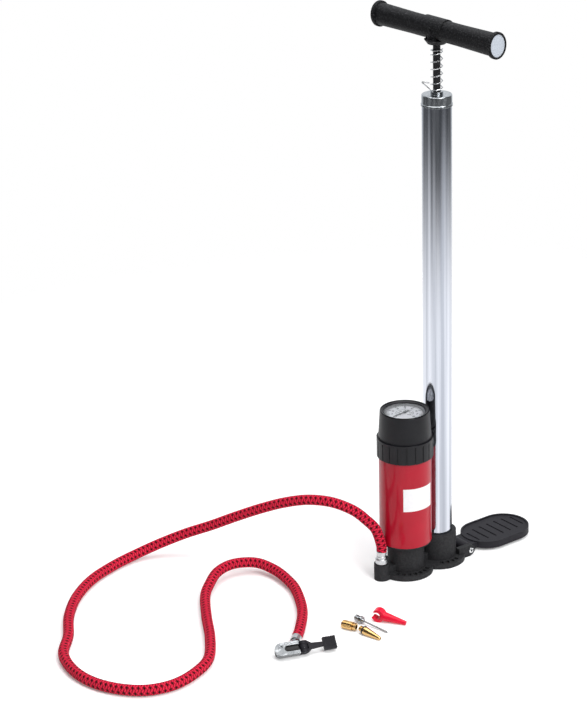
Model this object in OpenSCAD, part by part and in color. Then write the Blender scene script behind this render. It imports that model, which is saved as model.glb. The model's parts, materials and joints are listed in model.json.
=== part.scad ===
// Floor pump with an air tank, a dial gauge, a folding foot pedal and a braided hose.
// Millimetres, +Z up. The origin is on the floor, on the axis of the barrel.
// +X runs along the base from the tank to the pedal, and the handle lies along Y.

/* [Barrel] */
// Outside diameter of the barrel tube
barrel_d = 32; // [28:0.5:36]
// Wall of the barrel tube
barrel_wall = 1.2; // [0.8:0.1:2]
// Length of the barrel tube
barrel_len = 521; // [380:1:600]
// Height of the pressed cap on top of the barrel
cap_h = 12; // [9:0.5:18]
// Sheet thickness of the cap
cap_wall = 0.8; // [0.6:0.1:1.4]
// Thickness of the cap's flat top
cap_top = 2.5; // [1.5:0.1:4]
// Height of the raised collar around the rod
collar_h = 3; // [2:0.1:5]

/* [Rod and piston] */
// Diameter of the piston rod
rod_d = 8; // [6:0.5:10]
// Length of the bush that guides the rod
bush_len = 19.5; // [12:0.5:30]
// Height of the piston body
piston_h = 16; // [10:0.5:24]
// Height of the cup seal
seal_h = 6; // [4:0.5:9]
// Thickness of the nut under the piston
nut_t = 5.5; // [4:0.5:8]
// Room left under the piston nut
foot_room = 7; // [6.5:0.5:10]

/* [Buffer spring] */
// Wire diameter
wire_d = 1.3; // [1:0.1:1.6]
// Free height of the spring
spring_h = 45.6; // [36:0.2:60]
// Number of open turns
spring_turns = 4.5; // [3.5:0.5:5]
// Room between the rod and the spring
spring_room = 1.4; // [1:0.1:2]
// Height of the handle's boss above the spring
spring_slack = 5; // [2:0.5:6]

/* [Handle] */
// Length over both ends
handle_len = 191; // [150:1:240]
// Width of the grip in the middle
grip_w = 18; // [15:0.5:22]
// How much taller than wide the grip is
grip_rise = 4.7; // [3:0.1:7]
// Extra width of the grip next to the end lips
grip_swell = 1.6; // [0:0.1:3]
// How far the end lips stand out
lip_out = 1.9; // [1:0.1:3]
// Width of the end lips
lip_w = 5; // [3:0.5:8]
// Diameter of the boss that takes the rod
boss_d = 19.5; // [17:0.5:24]
// How far the boss stands below the grip
boss_below = 3.6; // [2:0.1:12]
// Length of the raised saddle on top
saddle_len = 33; // [24:1:50]

/* [Tank] */
// Outside diameter of the tank tube
tank_d = 58; // [52:0.5:64]
// Wall of the tank tube
tank_wall = 1.5; // [1:0.1:2.5]
// Length of the tank tube
tank_len = 121; // [90:1:200]
// Space between the tank and the barrel
tube_gap = 1.5; // [1:0.1:4]
// Outside diameter of the tube that ties the tank together
tie_d = 10; // [8:0.5:12]

/* [Gauge] */
// Height of the gauge housing above its collar
gauge_h = 31; // [26:0.5:40]
// How much the housing narrows to its rim, on the radius
gauge_taper = 1.9; // [0.5:0.1:3]
// Width of the rim around the glass
rim_w = 4.2; // [3:0.1:5]
// Height of the fluted collar
gauge_collar_h = 22; // [16:0.5:28]
// Wall of the fluted collar
gauge_collar_wall = 2; // [1.5:0.1:3]
// Number of flutes round the collar
flutes = 20; // [12:2:40]
// Depth of the dial under the rim
dial_depth = 4.6; // [4.4:0.1:7]

/* [Base] */
// Thickness of the base flange
flange_h = 6; // [5:0.5:8]
// Width of the flange outside the sockets
flange_w = 10; // [8.5:0.5:14]
// Wall of the barrel socket
socket_wall = 4.5; // [3:0.5:6]
// Height of the barrel socket above the floor
socket_h = 36; // [28:0.5:44]
// Thickness of material under the barrel
socket_floor = 14; // [13:0.5:18]
// Diameter of the tank boss
tank_boss_d = 41; // [38:0.5:46]
// Height of the lower end of the tank tube above the floor
tank_seat_h = 39.5; // [32:0.5:46]
// Height of the plug inside the lower end of the tank
spigot_h = 12.5; // [10:0.5:16]
// Diameter of the air passages
duct_d = 5; // [3:0.5:6]
// Number of rib pockets round a full turn of a socket
rib_count = 24; // [16:2:32]
// Diameter of the hose port
port_d = 17; // [15:0.5:20]
// Height of the hose port
port_h = 19; // [16:0.5:24]
// How far the middle of the hose port stands outside the flange
port_out = 4; // [2:0.5:7]

/* [Foot pedal] */
// Length of the oval tread
pedal_len = 85; // [70:1:110]
// Width of the oval tread
pedal_w = 57; // [48:1:64]
// Thickness of the pedal
pedal_h = 8; // [6:0.5:10]
// Wall of the pedal
pedal_wall = 2.5; // [1.5:0.1:3.5]
// Number of grooves across the tread
tread_grooves = 7; // [4:1:9]
// Diameter of the hinge pin
pin_d = 5; // [4:0.5:6]
// Diameter of the hinge eyes
eye_d = 12; // [11:0.5:14]
// Width of the hinge between its lugs
hinge_w = 28; // [22:1:34]
// Thickness of a hinge lug
lug_t = 6.2; // [4:0.2:8]

/* [Hose and chuck] */
// Diameter of the hose
hose_d = 11.5; // [10:0.1:12]
// Height of the nipple's collar
nipple_h = 6.5; // [5:0.5:9]
// Length of the ferrule at the base
ferrule_len = 8.5; // [6:0.5:12]
// Length of the chuck body
chuck_len = 35; // [33:0.5:40]
// Width of the chuck body
chuck_w = 14; // [13.4:0.1:15]
// Height of the chuck body from its round back to its rims
chuck_h = 13.6; // [13.4:0.1:15]
// Wall of the chuck body
chuck_wall = 2; // [1.5:0.1:2.2]
// Diameter of the valve bore in the rubber
valve_d = 7.8; // [7:0.1:8.2]
// Depth of the valve bore
valve_depth = 11; // [8:0.5:12]
// Length of the chuck lever from its pin to its end
lever_len = 35; // [30:1:45]
// Side of the square thumb pad
thumb_w = 13.5; // [10:0.5:14]

/* [Adapters] */
// Length of the brass valve adapter
adapter_len = 16.5; // [14:0.5:20]
// Diameter of the brass valve adapter
adapter_d = 9.2; // [8:0.1:10]
// Length of the ball needle over all
needle_len = 44; // [38:1:52]
// Length of the brass taper nozzle
taper_len = 28; // [24:0.5:34]
// Thick end of the taper nozzle
taper_d = 9; // [8:0.1:10]
// Length of the plastic air nozzle
nozzle_len = 38; // [34:1:50]

/* [Hidden] */
$fn = 72;

// Clearances: a seated piece, a running shaft, pieces that move apart, and a cut past a face
seat_gap = 0.05;
run_gap = 0.06;
rest_gap = 0.3;
past = 1;

// Barrel and cap
barrel_r = barrel_d / 2;
bore_r = barrel_r - barrel_wall;
barrel_neck_r = barrel_r - barrel_wall / 2;
gasket_t = 1.5;
barrel_z = socket_floor + gasket_t;
barrel_top = barrel_z + barrel_len;
cap_z = barrel_top + cap_top;
cap_skirt = cap_h - cap_top;
cap_r = barrel_neck_r + seat_gap + cap_wall;
cap_lip_h = 2;
cap_lip_out = 0.6;
neck_len = cap_skirt + 0.5;

// Rod, piston and spring
rod_r = rod_d / 2;
thread_r = rod_r - 1;
nut_z = barrel_z + foot_room;
seal_z = nut_z + nut_t;
piston_z = seal_z + seal_h;
piston_r = bore_r - rest_gap;
seal_r = bore_r - 0.1;
bush_z = barrel_top - bush_len;
coil_r = rod_r + spring_room + wire_d / 2;
collar_r = coil_r + wire_d / 2;
spring_z = cap_z + collar_h;
spring_top = spring_z + seat_gap + spring_h;

// Handle
boss_z = spring_top + rest_gap + spring_slack;
grip_r = grip_w / 2;
grip_end_r = grip_r + grip_swell / 2;
lip_r = grip_end_r + lip_out;
rise = grip_rise / 2;
boss_h = boss_below + grip_r + rise;
grip_z = boss_z + boss_h;
plug_r = lip_r - 2.3;
plug_t = 3;
plug_sunk = 0.8;
saddle_t = 1.2;
rod_in = boss_h + 3;
hex_across = 1.6;
handle_nut_z = boss_z + 9;

// Tank, its closures and its tie tube
tank_r = tank_d / 2;
tank_bore_r = tank_r - tank_wall;
tank_x = -(barrel_r + tank_r + tube_gap);
tank_top = tank_seat_h + tank_len;
shoulder_h = 2;
cord_d = 3;
groove_r = tank_bore_r - 2.4;
tie_r = tie_d / 2;
tie_z = tank_seat_h + spigot_h - 8;
head_plug = 10.5;
head_flange = 2.5;
head_z = tank_top + head_flange;
tie_top = tank_top - head_plug + 8;

// Gauge
gauge_r = tank_r + 0.2;
rim_r = gauge_r - gauge_taper;
rim_z = head_z + gauge_h;
housing_wall = 2.2;
housing_floor = 2.5;
glass_r = rim_r - rim_w;
glass_t = 1;
glass_sunk = 1.6;
glass_step = 0.8;
dial_z = rim_z - dial_depth;
dial_t = 0.8;
dial_r = glass_r - glass_step;
spindle_r = 0.8;
movement_z = head_z + housing_floor;
movement_h = 10;
spindle_z = movement_z + movement_h - 3;
gauge_up = 50;
needle_zero = gauge_up + 135;
collar_out_r = tank_r + seat_gap + gauge_collar_wall;

// Base
socket_r = barrel_r + socket_wall;
boss_r = tank_boss_d / 2;
barrel_lobe_r = socket_r + flange_w;
tank_lobe_r = boss_r + flange_w;
shoulder_r = tank_r - 0.6;
spigot_r = tank_bore_r - seat_gap;
spigot_top = tank_seat_h + spigot_h;
duct_r = duct_d / 2;
duct_z = flange_h + duct_r + 1;
port_x = tank_x - tank_lobe_r - port_out;
port_thread_r = 5;
port_thread_h = 9;
valve_off = 15;
bridge_w = duct_d + 7;
bridge_h = duct_z + duct_r + 2;
pocket_in = 1.5;
pocket_out = 3;
pocket_deep = 2.5;
rib_t = 1.6;
under_deep = 2;
under_wall = 3;
under_hub = 9;

// Check valve
disc_r = 5;
disc_t = 2;
disc_lift = 2;
cage_wall = 1.5;
cage_room = disc_t + disc_lift + 0.6;

// Pedal hinge
hinge_x = barrel_lobe_r + 1;
hinge_z = eye_d / 2 + 1;
eye_r = eye_d / 2;
pin_r = pin_d / 2;
lug_y = hinge_w / 2 + rest_gap;
pin_half = lug_y + lug_t + 1;
pedal_z = hinge_z - pedal_h / 2;
tread_x = hinge_x + eye_r + 5;
tread_r = pedal_w / 2;
tread_rim = 2.2;
tread_sunk = 1.2;
tread_floor = 3;
groove_w = 2.2;
groove_deep = 1;

// Hose fittings and chuck
nipple_r = 7;
barb_r = 3;
ferrule_z = port_h + nipple_h;
hose_r = hose_d / 2;
chuck_turn = -20;
chuck_tilt = 42;
neck_x = -12;
neck_reach = 25.5;
neck_r = 5;
neck_core_r = 4;
chuck_ferrule_len = 9;
chuck_r = chuck_w / 2;
chuck_nose = 3 - chuck_len;
nose_wall = 4;
channel_r = chuck_r - chuck_wall;
channel_floor = 2;
roof_t = 0.7;
slot_r = 3.3;
slot_x = -21;
axle_z = 8.5;
axle_r = 1.5;
cheek_r = 4.6;
cheek_y = 6.2;
tongue_y = 2.5;
tongue_r = 4;
grommet_r = channel_r - seat_gap;
grommet_x = -6;
grommet_len = 14.5;
valve_r = valve_d / 2;
arm_t = 4;
arm_w = 4.4;
pad_grooves = 4;

// Route of the hose's middle line, from the ferrule on the base to the ferrule on the chuck
hose_route = [
    [-81, 0, 34], [-81, 0, 40], [-86, 3, 60], [-94, 10, 72], [-104, 20, 83], [-118, 39, 90],
    [-133, 63, 89], [-148, 88, 81], [-163, 113, 69], [-179, 138, 55], [-196, 163, 40],
    [-216, 185, 28], [-240, 203, 16], [-268, 211, 8], [-300, 207, 6], [-338, 193, 6],
    [-374, 168, 6], [-404, 135, 6], [-427, 99, 6], [-452, 68, 6], [-462, 33, 6],
    [-460, 0, 6], [-447, -29, 6], [-426, -50, 6], [-398, -58, 6], [-368, -52, 6],
    [-340, -36, 6], [-313, 0, 6], [-289, 41, 6], [-265, 78, 7], [-248, 94, 10],
    [-227, 108, 13], [-203, 111, 14], [-181, 99, 13], [-172, 76, 10], [-173, 51, 8],
    [-179, 27, 6], [-201, -13, 6], [-229, -46, 7], [-244, -60, 7]
];
hose_last = len(hose_route) - 1;
hose_end = hose_route[hose_last];
hose_back = hose_route[hose_last - 1] - hose_end;
neck_turn = atan2(hose_back[1], hose_back[0]) - chuck_turn;

// Vector along a segment, with length one
function unit(v) = v / norm(v);

// Direction of a path at its point i
function along(p, i) =
    i == 0 ? unit(p[1] - p[0]) :
    i == len(p) - 1 ? unit(p[i] - p[i - 1]) :
    unit(unit(p[i] - p[i - 1]) + unit(p[i + 1] - p[i]));

// Part of v that is square to the direction d, with length one
function square_to(v, d) = unit(v - (v * d) * d);

// A side vector for each point, carried along the path without twist
function sides_of(p, first) = [
    for (i = 0, s = square_to(first, along(p, 0)); i < len(p);
        i = i + 1, s = i < len(p) ? square_to(s, along(p, i)) : s) s
];

// A closed tube of radius r and n sides along the points p
module tube(p, r, n, first) {
    s = sides_of(p, first);
    rings = len(p);
    points = [
        for (i = [0 : rings - 1], k = [0 : n - 1])
            p[i] + r * (cos(360 * k / n) * s[i] + sin(360 * k / n) * cross(along(p, i), s[i]))
    ];
    walls = [
        for (i = [0 : rings - 2], k = [0 : n - 1])
            let (a = i * n + k, b = i * n + (k + 1) % n)
                each [[a, b + n, b], [a, a + n, b + n]]
    ];
    start = [for (k = [1 : n - 2]) [0, k, k + 1]];
    end = [for (k = [1 : n - 2]) [0, k + 1, k] + (rings - 1) * n * [1, 1, 1]];
    polyhedron(points, concat(walls, start, end), convexity = 10);
}

// A ring of square section between two radii
module ring(r_out, r_in, h) {
    difference() {
        cylinder(r = r_out, h = h);
        translate([0, 0, -past])
            cylinder(r = r_in, h = h + 2 * past);
    }
}

// A solid of revolution from [radius, height] points
module turned(profile) {
    rotate_extrude()
        polygon(profile);
}

// An O-ring of mean radius r at height z
module o_ring(r, d) {
    rotate_extrude()
        translate([r, 0])
            circle(d = d, $fn = 32);
}

// An oval with straight sides along X
module oval(half_len, r) {
    for (side = [-1, 1])
        translate([side * (half_len - r), 0])
            circle(r = r);
    square([2 * (half_len - r), 2 * r], center = true);
}

// Flange of the base: one round lobe under each tube
module base_outline(inset) {
    circle(r = barrel_lobe_r - inset);
    translate([tank_x, 0])
        circle(r = tank_lobe_r - inset);
}

// Ring of pockets between radial ribs, left out over the angles from skip_from to skip_to
module rib_pockets(r, skips) {
    step = 360 / rib_count;
    for (k = [0 : rib_count - 1]) {
        a = k * step;
        hidden = [for (s = skips) if (abs((a - s[0] + 540) % 360 - 180) < s[1]) 1];
        if (len(hidden) == 0)
            rotate(a)
                translate([r + pocket_in, 0, 0])
                    pocket(r, step);
    }
}

// One pocket, as wide as the space between two ribs
module pocket(r, step) {
    w = (r + pocket_in) * 3.1416 * step / 180 - rib_t;
    depth = flange_w - pocket_in - pocket_out;
    translate([0, -w / 2, 0])
        cube([depth, w, pocket_deep + past]);
}

// Solid of the tank boss with its shoulder and the plug inside the tube
module tank_seat() {
    turned([
        [0, 0], [boss_r, 0], [boss_r, tank_seat_h - shoulder_h], [shoulder_r, tank_seat_h - shoulder_h],
        [shoulder_r, tank_seat_h], [spigot_r, tank_seat_h], [spigot_r, spigot_top], [0, spigot_top]
    ]);
}

// Two lugs that hold the pedal pin
module hinge_lugs() {
    reach = hinge_x - socket_r * 0.7;
    for (side = [-1, 1])
        translate([hinge_x, side * (lug_y + lug_t / 2), hinge_z])
            rotate([90, 0, 0])
                translate([0, 0, -lug_t / 2]) {
                    cylinder(r = eye_r, h = lug_t);
                    translate([-reach, -hinge_z, 0])
                        cube([reach, hinge_z + eye_r, lug_t]);
                }
}

// Air passages from the barrel to the check valve, and from the tank to the hose port
module air_ducts() {
    inlet_x = tank_x + valve_off;
    outlet_x = tank_x - valve_off;
    translate([0, 0, duct_z])
        cylinder(r = duct_r, h = socket_floor, $fn = 32);
    translate([inlet_x, 0, duct_z])
        rotate([0, 90, 0])
            cylinder(r = duct_r, h = -inlet_x, $fn = 32);
    translate([inlet_x, 0, duct_z])
        cylinder(r = duct_r, h = spigot_top, $fn = 32);
    translate([outlet_x, 0, duct_z])
        cylinder(r = duct_r, h = spigot_top, $fn = 32);
    translate([port_x, 0, duct_z])
        rotate([0, 90, 0])
            cylinder(r = duct_r, h = outlet_x - port_x, $fn = 32);
    translate([port_x, 0, duct_z])
        cylinder(r = duct_r, h = port_h, $fn = 32);
}

// Hollow underside with its hubs
module underside() {
    translate([0, 0, -past])
        difference() {
            linear_extrude(under_deep + past)
                base_outline(under_wall);
            for (x = [0, tank_x])
                translate([x, 0, 0])
                    cylinder(r = under_hub, h = under_deep + past);
            translate([tank_x, -under_wall / 2, 0])
                cube([-tank_x, under_wall, under_deep + past]);
            translate([socket_r * 0.6, -lug_y - lug_t, 0])
                cube([barrel_lobe_r, 2 * (lug_y + lug_t), under_deep + past]);
        }
}

module base() {
    color("#202022")
        difference() {
            union() {
                linear_extrude(flange_h)
                    base_outline(0);
                cylinder(r = socket_r, h = socket_h);
                translate([tank_x, 0, 0])
                    tank_seat();
                translate([port_x, 0, 0])
                    cylinder(d = port_d, h = port_h);
                translate([port_x, -port_d / 2, 0])
                    cube([tank_x - port_x, port_d, flange_h]);
                translate([tank_x, -bridge_w / 2, 0])
                    cube([-tank_x, bridge_w, bridge_h]);
                translate([port_x, -bridge_w / 2, 0])
                    cube([tank_x - port_x, bridge_w, bridge_h]);
                hinge_lugs();
            }
            translate([0, 0, socket_floor])
                cylinder(r = barrel_r + seat_gap, h = socket_h);
            air_ducts();
            translate([tank_x, 0, tie_z])
                cylinder(r = tie_r + seat_gap, h = spigot_h);
            translate([tank_x, 0, tank_seat_h + 4])
                ring(tank_r, groove_r, cord_d);
            translate([port_x, 0, port_h - port_thread_h])
                cylinder(r = port_thread_r + seat_gap, h = port_h);
            translate([0, 0, flange_h - pocket_deep])
                rib_pockets(socket_r, [[180, 52], [0, 62]]);
            translate([tank_x, 0, flange_h - pocket_deep])
                rib_pockets(boss_r, [[0, 52], [180, 28]]);
            underside();
            translate([hinge_x, lug_y, hinge_z])
                rotate([90, 0, 0])
                    cylinder(r = eye_r + 2 * rest_gap, h = 2 * lug_y);
            translate([hinge_x, -lug_y, -past])
                cube([eye_r + past, 2 * lug_y, hinge_z + eye_r]);
            translate([hinge_x, pin_half, hinge_z])
                rotate([90, 0, 0])
                    cylinder(r = pin_r + seat_gap, h = 2 * pin_half);
        }
}

module barrel_gasket() {
    color("#151515")
        translate([0, 0, socket_floor])
            ring(barrel_r, bore_r, gasket_t);
}

module barrel() {
    color("#c9ccd2")
        translate([0, 0, barrel_z])
            turned([
                [bore_r, 0], [barrel_r, 0], [barrel_r, barrel_len - neck_len],
                [barrel_neck_r, barrel_len - neck_len], [barrel_neck_r, barrel_len], [bore_r, barrel_len]
            ]);
}

module barrel_cap() {
    edge = 1.2;
    color("#b4b8bd")
        translate([0, 0, cap_z])
            turned(concat(
                [[rod_r + 0.4, collar_h], [rod_r + 0.4, -cap_top], [barrel_neck_r + seat_gap, -cap_top],
                    [barrel_neck_r + seat_gap, -cap_h], [cap_r + cap_lip_out, -cap_h],
                    [cap_r + cap_lip_out, cap_lip_h - cap_h], [cap_r, cap_lip_h - cap_h + cap_lip_out]],
                [for (a = [0 : 15 : 90]) [cap_r - edge + edge * cos(a), -edge + edge * sin(a)]],
                [[collar_r, 0], [collar_r, collar_h]]
            ));
}

module rod_bush() {
    color("#d8d6cc")
        translate([0, 0, bush_z])
            difference() {
                cylinder(r = bore_r - seat_gap, h = bush_len);
                translate([0, 0, -past])
                    cylinder(r = rod_r + run_gap, h = bush_len + 2 * past);
                translate([0, 0, bush_len / 3])
                    ring(barrel_r, bore_r - 1.5, bush_len / 3);
            }
}

module piston_rod() {
    color("#1a1a1c")
        turned([
            [0, nut_z], [thread_r, nut_z], [thread_r, piston_z + piston_h / 2],
            [rod_r, piston_z + piston_h / 2], [rod_r, boss_z + rod_in], [0, boss_z + rod_in]
        ]);
}

module piston_head() {
    waist = 2;
    third = piston_h / 3;
    color("#e4e2da")
        translate([0, 0, piston_z])
            difference() {
                turned([
                    [0, 0], [piston_r, 0], [piston_r, third], [piston_r - waist, third],
                    [piston_r - waist, 2 * third], [piston_r, 2 * third], [piston_r, piston_h], [0, piston_h]
                ]);
                translate([0, 0, -past])
                    cylinder(r = thread_r + seat_gap, h = piston_h + 2 * past);
                translate([0, 0, piston_h / 2])
                    cylinder(r = rod_r + seat_gap, h = piston_h);
            }
}

module piston_seal() {
    lip = 1.6;
    web = 2.2;
    color("#121212")
        translate([0, 0, seal_z])
            turned([
                [thread_r + seat_gap, seal_h], [thread_r + seat_gap, seal_h - web],
                [seal_r - lip - 1, seal_h - web], [seal_r - lip, 0], [seal_r, 0],
                [seal_r, 1], [seal_r - 0.4, seal_h]
            ]);
}

module piston_nut() {
    color("#a9adb3")
        translate([0, 0, nut_z])
            difference() {
                cylinder(r = hex_across * rod_r, h = nut_t, $fn = 6);
                translate([0, 0, -past])
                    cylinder(r = thread_r + seat_gap, h = nut_t + 2 * past);
            }
}

// Height of the spring wire after t turns: a close turn at each end, open turns between them
spring_first = 6.6;
spring_final = 2.4;
spring_pitch = (spring_h - wire_d - spring_first - spring_final) / spring_turns;
function spring_rise(t) =
    t < 1 ? spring_first * t :
    t < 1 + spring_turns ? spring_first + spring_pitch * (t - 1) :
    spring_first + spring_pitch * spring_turns + spring_final * (t - 1 - spring_turns);

// The wire's lower end: an eye bent out of the bottom turn, given as out, back and up
spring_turn = 140;
eye_route = [
    [1.8, -1, 8.2], [4.8, -1.8, 9], [7.2, -1.6, 9.4], [9, -0.2, 9.2], [9.5, 1.8, 8.2],
    [8.2, 3.4, 6.6], [6, 4.2, 4.6], [3.6, 4.2, 2.5], [1.3, 2.9, 0.8]
];
spring_rings = 8;
spring_path = concat(
    [
        for (e = eye_route)
            let (out = coil_r + e[0])
                [out * cos(spring_turn) + e[1] * cos(spring_turn - 90),
                    out * sin(spring_turn) + e[1] * sin(spring_turn - 90),
                    spring_z + seat_gap + wire_d / 2 + e[2]]
    ],
    [
        for (k = [0 : spring_rings * (spring_turns + 2)])
            let (t = k / spring_rings, a = spring_turn + 360 * t)
                [coil_r * cos(a), coil_r * sin(a), spring_z + seat_gap + wire_d / 2 + spring_rise(t)]
    ]
);
spring_gap = min([
    for (i = [0 : len(spring_path) - 1], k = [i + 5 : 1 : len(spring_path) - 1])
        norm(spring_path[i] - spring_path[k])
]) - wire_d;
echo(least_gap_in_spring = spring_gap);

module buffer_spring() {
    color("#d0d3d8")
        tube(spring_path, wire_d / 2, 6, [0, 0, 1]);
}

// A solid of revolution about Y, made taller by twice the rise
module grip_solid(profile) {
    for (side = [-1, 1])
        translate([0, 0, side * rise])
            rotate([-90, 0, 0])
                rotate_extrude()
                    polygon(profile);
    translate([0, 0, -rise])
        linear_extrude(2 * rise) {
            polygon(profile);
            mirror([1, 0])
                polygon(profile);
        }
}

// An elliptic disc, square to Y, from y to y + t
module end_disc(r, y, t) {
    translate([0, y + t, 0])
        rotate([90, 0, 0])
            linear_extrude(t)
                scale([1, (r + rise) / r])
                    circle(r = r);
}

// Raised lip at one end of the grip, with a smaller step on both of its faces
module end_lip(y) {
    step = 0.9;
    end_disc(lip_r, y - lip_w / 2 + step, lip_w - 2 * step);
    end_disc(lip_r - step / 2, y - lip_w / 2, lip_w);
}

// Outline of the grip between its lips, swollen towards both ends
function grip_profile() =
    let (reach = (handle_len - lip_w) / 2)
        [
            [0, -reach], [grip_end_r, -reach], [grip_r, -reach / 2.5], [grip_r, reach / 2.5],
            [grip_end_r, reach], [0, reach]
        ];

module handle() {
    half = handle_len / 2;
    fairing = 0.95 * boss_below;
    color("#19191b")
        difference() {
            union() {
                translate([0, 0, grip_z]) {
                    grip_solid(grip_profile());
                    for (side = [-1, 1])
                        end_lip(side * (half - lip_w / 2));
                }
                translate([0, 0, boss_z])
                    cylinder(d = boss_d, h = boss_h);
                translate([0, 0, grip_z - rise - grip_r - fairing])
                    cylinder(d1 = boss_d, d2 = boss_d + 2 * fairing, h = fairing + 1);
                intersection() {
                    translate([0, 0, grip_z])
                        grip_solid([
                            [0, -saddle_len / 2], [grip_r + saddle_t, -saddle_len / 2],
                            [grip_r + saddle_t, saddle_len / 2], [0, saddle_len / 2]
                        ]);
                    translate([-grip_w, -saddle_len, grip_z + rise])
                        cube([2 * grip_w, 2 * saddle_len, grip_w]);
                }
            }
            translate([0, 0, boss_z - past])
                cylinder(r = rod_r + seat_gap, h = rod_in + past + seat_gap);
            translate([0, 0, handle_nut_z - seat_gap])
                cylinder(r = hex_across * rod_r + seat_gap, h = nut_t + 2 * seat_gap, $fn = 6);
            for (side = [-1, 1])
                translate([0, side * (half - (plug_t + plug_sunk) / 2), grip_z])
                    end_disc(plug_r + seat_gap, -(plug_t + plug_sunk) / 2 - past * (1 - side) / 2,
                        plug_t + plug_sunk + past);
        }
}

module handle_plugs() {
    half = handle_len / 2;
    color("#cfd4da")
        for (side = [-1, 1])
            translate([0, side * (half - plug_sunk - plug_t / 2), grip_z])
                end_disc(plug_r, -plug_t / 2, plug_t);
}

module handle_nut() {
    color("#a9adb3")
        translate([0, 0, handle_nut_z])
            difference() {
                cylinder(r = hex_across * rod_r, h = nut_t, $fn = 6);
                translate([0, 0, -past])
                    cylinder(r = rod_r + seat_gap, h = nut_t + 2 * past);
            }
}

module tank_tube() {
    color("#c01f2e")
        translate([tank_x, 0, tank_seat_h])
            ring(tank_r, tank_bore_r, tank_len);
}

module tank_seal_lower() {
    color("#121212")
        translate([tank_x, 0, tank_seat_h + 4 + cord_d / 2])
            o_ring((groove_r + tank_bore_r) / 2, tank_bore_r - groove_r - 2 * seat_gap);
}

module tank_seal_upper() {
    color("#121212")
        translate([tank_x, 0, tank_top - head_plug / 2])
            o_ring((groove_r + tank_bore_r) / 2, tank_bore_r - groove_r - 2 * seat_gap);
}

module tank_head() {
    color("#202022")
        translate([tank_x, 0, 0])
            difference() {
                union() {
                    translate([0, 0, tank_top - head_plug])
                        cylinder(r = spigot_r, h = head_plug);
                    translate([0, 0, tank_top])
                        cylinder(r = tank_r, h = head_flange);
                }
                translate([0, 0, tank_top - head_plug / 2 - cord_d / 2])
                    ring(tank_r, groove_r, cord_d);
                translate([0, 0, tank_top - head_plug - past])
                    cylinder(r = tie_r + seat_gap, h = 8 + past);
                translate([0, 0, tank_top - head_plug])
                    cylinder(r = 2, h = head_plug + head_flange + past);
            }
}

module tie_tube() {
    color("#b4b8bd")
        translate([tank_x, 0, tie_z])
            difference() {
                ring(tie_r, tie_r - 1.8, tie_top - tie_z);
                translate([0, 0, (tie_top - tie_z) / 2])
                    rotate([0, 90, 0])
                        cylinder(r = 1.5, h = 2 * tie_r, $fn = 32);
            }
}

module gauge_collar() {
    flute_w = 1.3;
    flute_deep = 0.8;
    plain = 2;
    color("#202022")
        translate([tank_x, 0, head_z - gauge_collar_h])
            difference() {
                ring(collar_out_r, tank_r + seat_gap, gauge_collar_h);
                translate([-tank_x, 0, -past])
                    cylinder(r = barrel_r + rest_gap, h = gauge_collar_h + 2 * past);
                for (k = [0 : flutes - 1])
                    rotate(k * 360 / flutes)
                        translate([collar_out_r - flute_deep, -flute_w / 2, -past])
                            cube([flute_deep + past, flute_w, gauge_collar_h - plain + past]);
            }
}

module gauge_housing() {
    inner = gauge_r - gauge_taper - housing_wall;
    edge = 0.7;
    bead_w = 1.6;
    step_z = gauge_h - glass_sunk - glass_t;
    color("#202022")
        translate([tank_x, 0, head_z])
            turned([
                [2.1, 0], [gauge_r, 0], [rim_r, gauge_h - edge], [rim_r - edge, gauge_h],
                [rim_r - bead_w, gauge_h], [glass_r, gauge_h - glass_sunk + 0.2], [glass_r, step_z],
                [dial_r, step_z], [dial_r, dial_z - dial_t - head_z],
                [dial_r - 1.2, dial_z - dial_t - head_z], [inner - 1, housing_floor + 6],
                [inner - 1, housing_floor], [2.1, housing_floor]
            ]);
}

module gauge_movement() {
    stem_r = 2;
    block = [14, 10, movement_h];
    tube_r = 1.6;
    curl_r = 14;
    color("#c9a24a")
        translate([tank_x, 0, movement_z])
            rotate(gauge_up)
                difference() {
                    union() {
                        translate([0, 0, -housing_floor - 1])
                            cylinder(r = stem_r - seat_gap, h = housing_floor + 2, $fn = 32);
                        translate([-block[0] / 2, -block[1] / 2, 0])
                            cube(block);
                        translate([-curl_r, -block[1] / 4, movement_h / 2 - 2])
                            cube([curl_r, block[1] / 2, 4]);
                        translate([0, 0, movement_h / 2])
                            rotate(-60)
                                rotate_extrude(angle = 240)
                                    translate([curl_r, 0])
                                        circle(r = tube_r, $fn = 24);
                    }
                    translate([0, 0, spindle_z - movement_z - 0.5])
                        cylinder(r = spindle_r + run_gap, h = movement_h, $fn = 32);
                }
}

module gauge_dial() {
    color("#f2f2f0")
        translate([tank_x, 0, dial_z - dial_t])
            ring(dial_r - seat_gap, spindle_r + 0.5, dial_t);
}

module gauge_needle() {
    tip = dial_r - 5;
    tail = 6;
    blade = 0.5;
    lift = 0.8;
    hub = 2;
    color("#b01822")
        translate([tank_x, 0, dial_z])
            rotate(needle_zero) {
                translate([0, 0, lift])
                    linear_extrude(blade)
                        polygon([[-tail, -1.2], [tip, -0.25], [tip, 0.25], [-tail, 1.2]]);
                translate([0, 0, rest_gap])
                    cylinder(r = hub, h = lift + blade, $fn = 32);
                translate([0, 0, spindle_z - dial_z])
                    cylinder(r = spindle_r, h = dial_z - spindle_z + lift, $fn = 32);
            }
}

module gauge_lens() {
    color("#dfe8ee")
        translate([tank_x, 0, rim_z - glass_sunk - glass_t])
            cylinder(r = glass_r - seat_gap, h = glass_t);
}

module check_valve_disc() {
    color("#121212")
        translate([tank_x + valve_off, 0, spigot_top + seat_gap])
            cylinder(r = disc_r, h = disc_t, $fn = 40);
}

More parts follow.
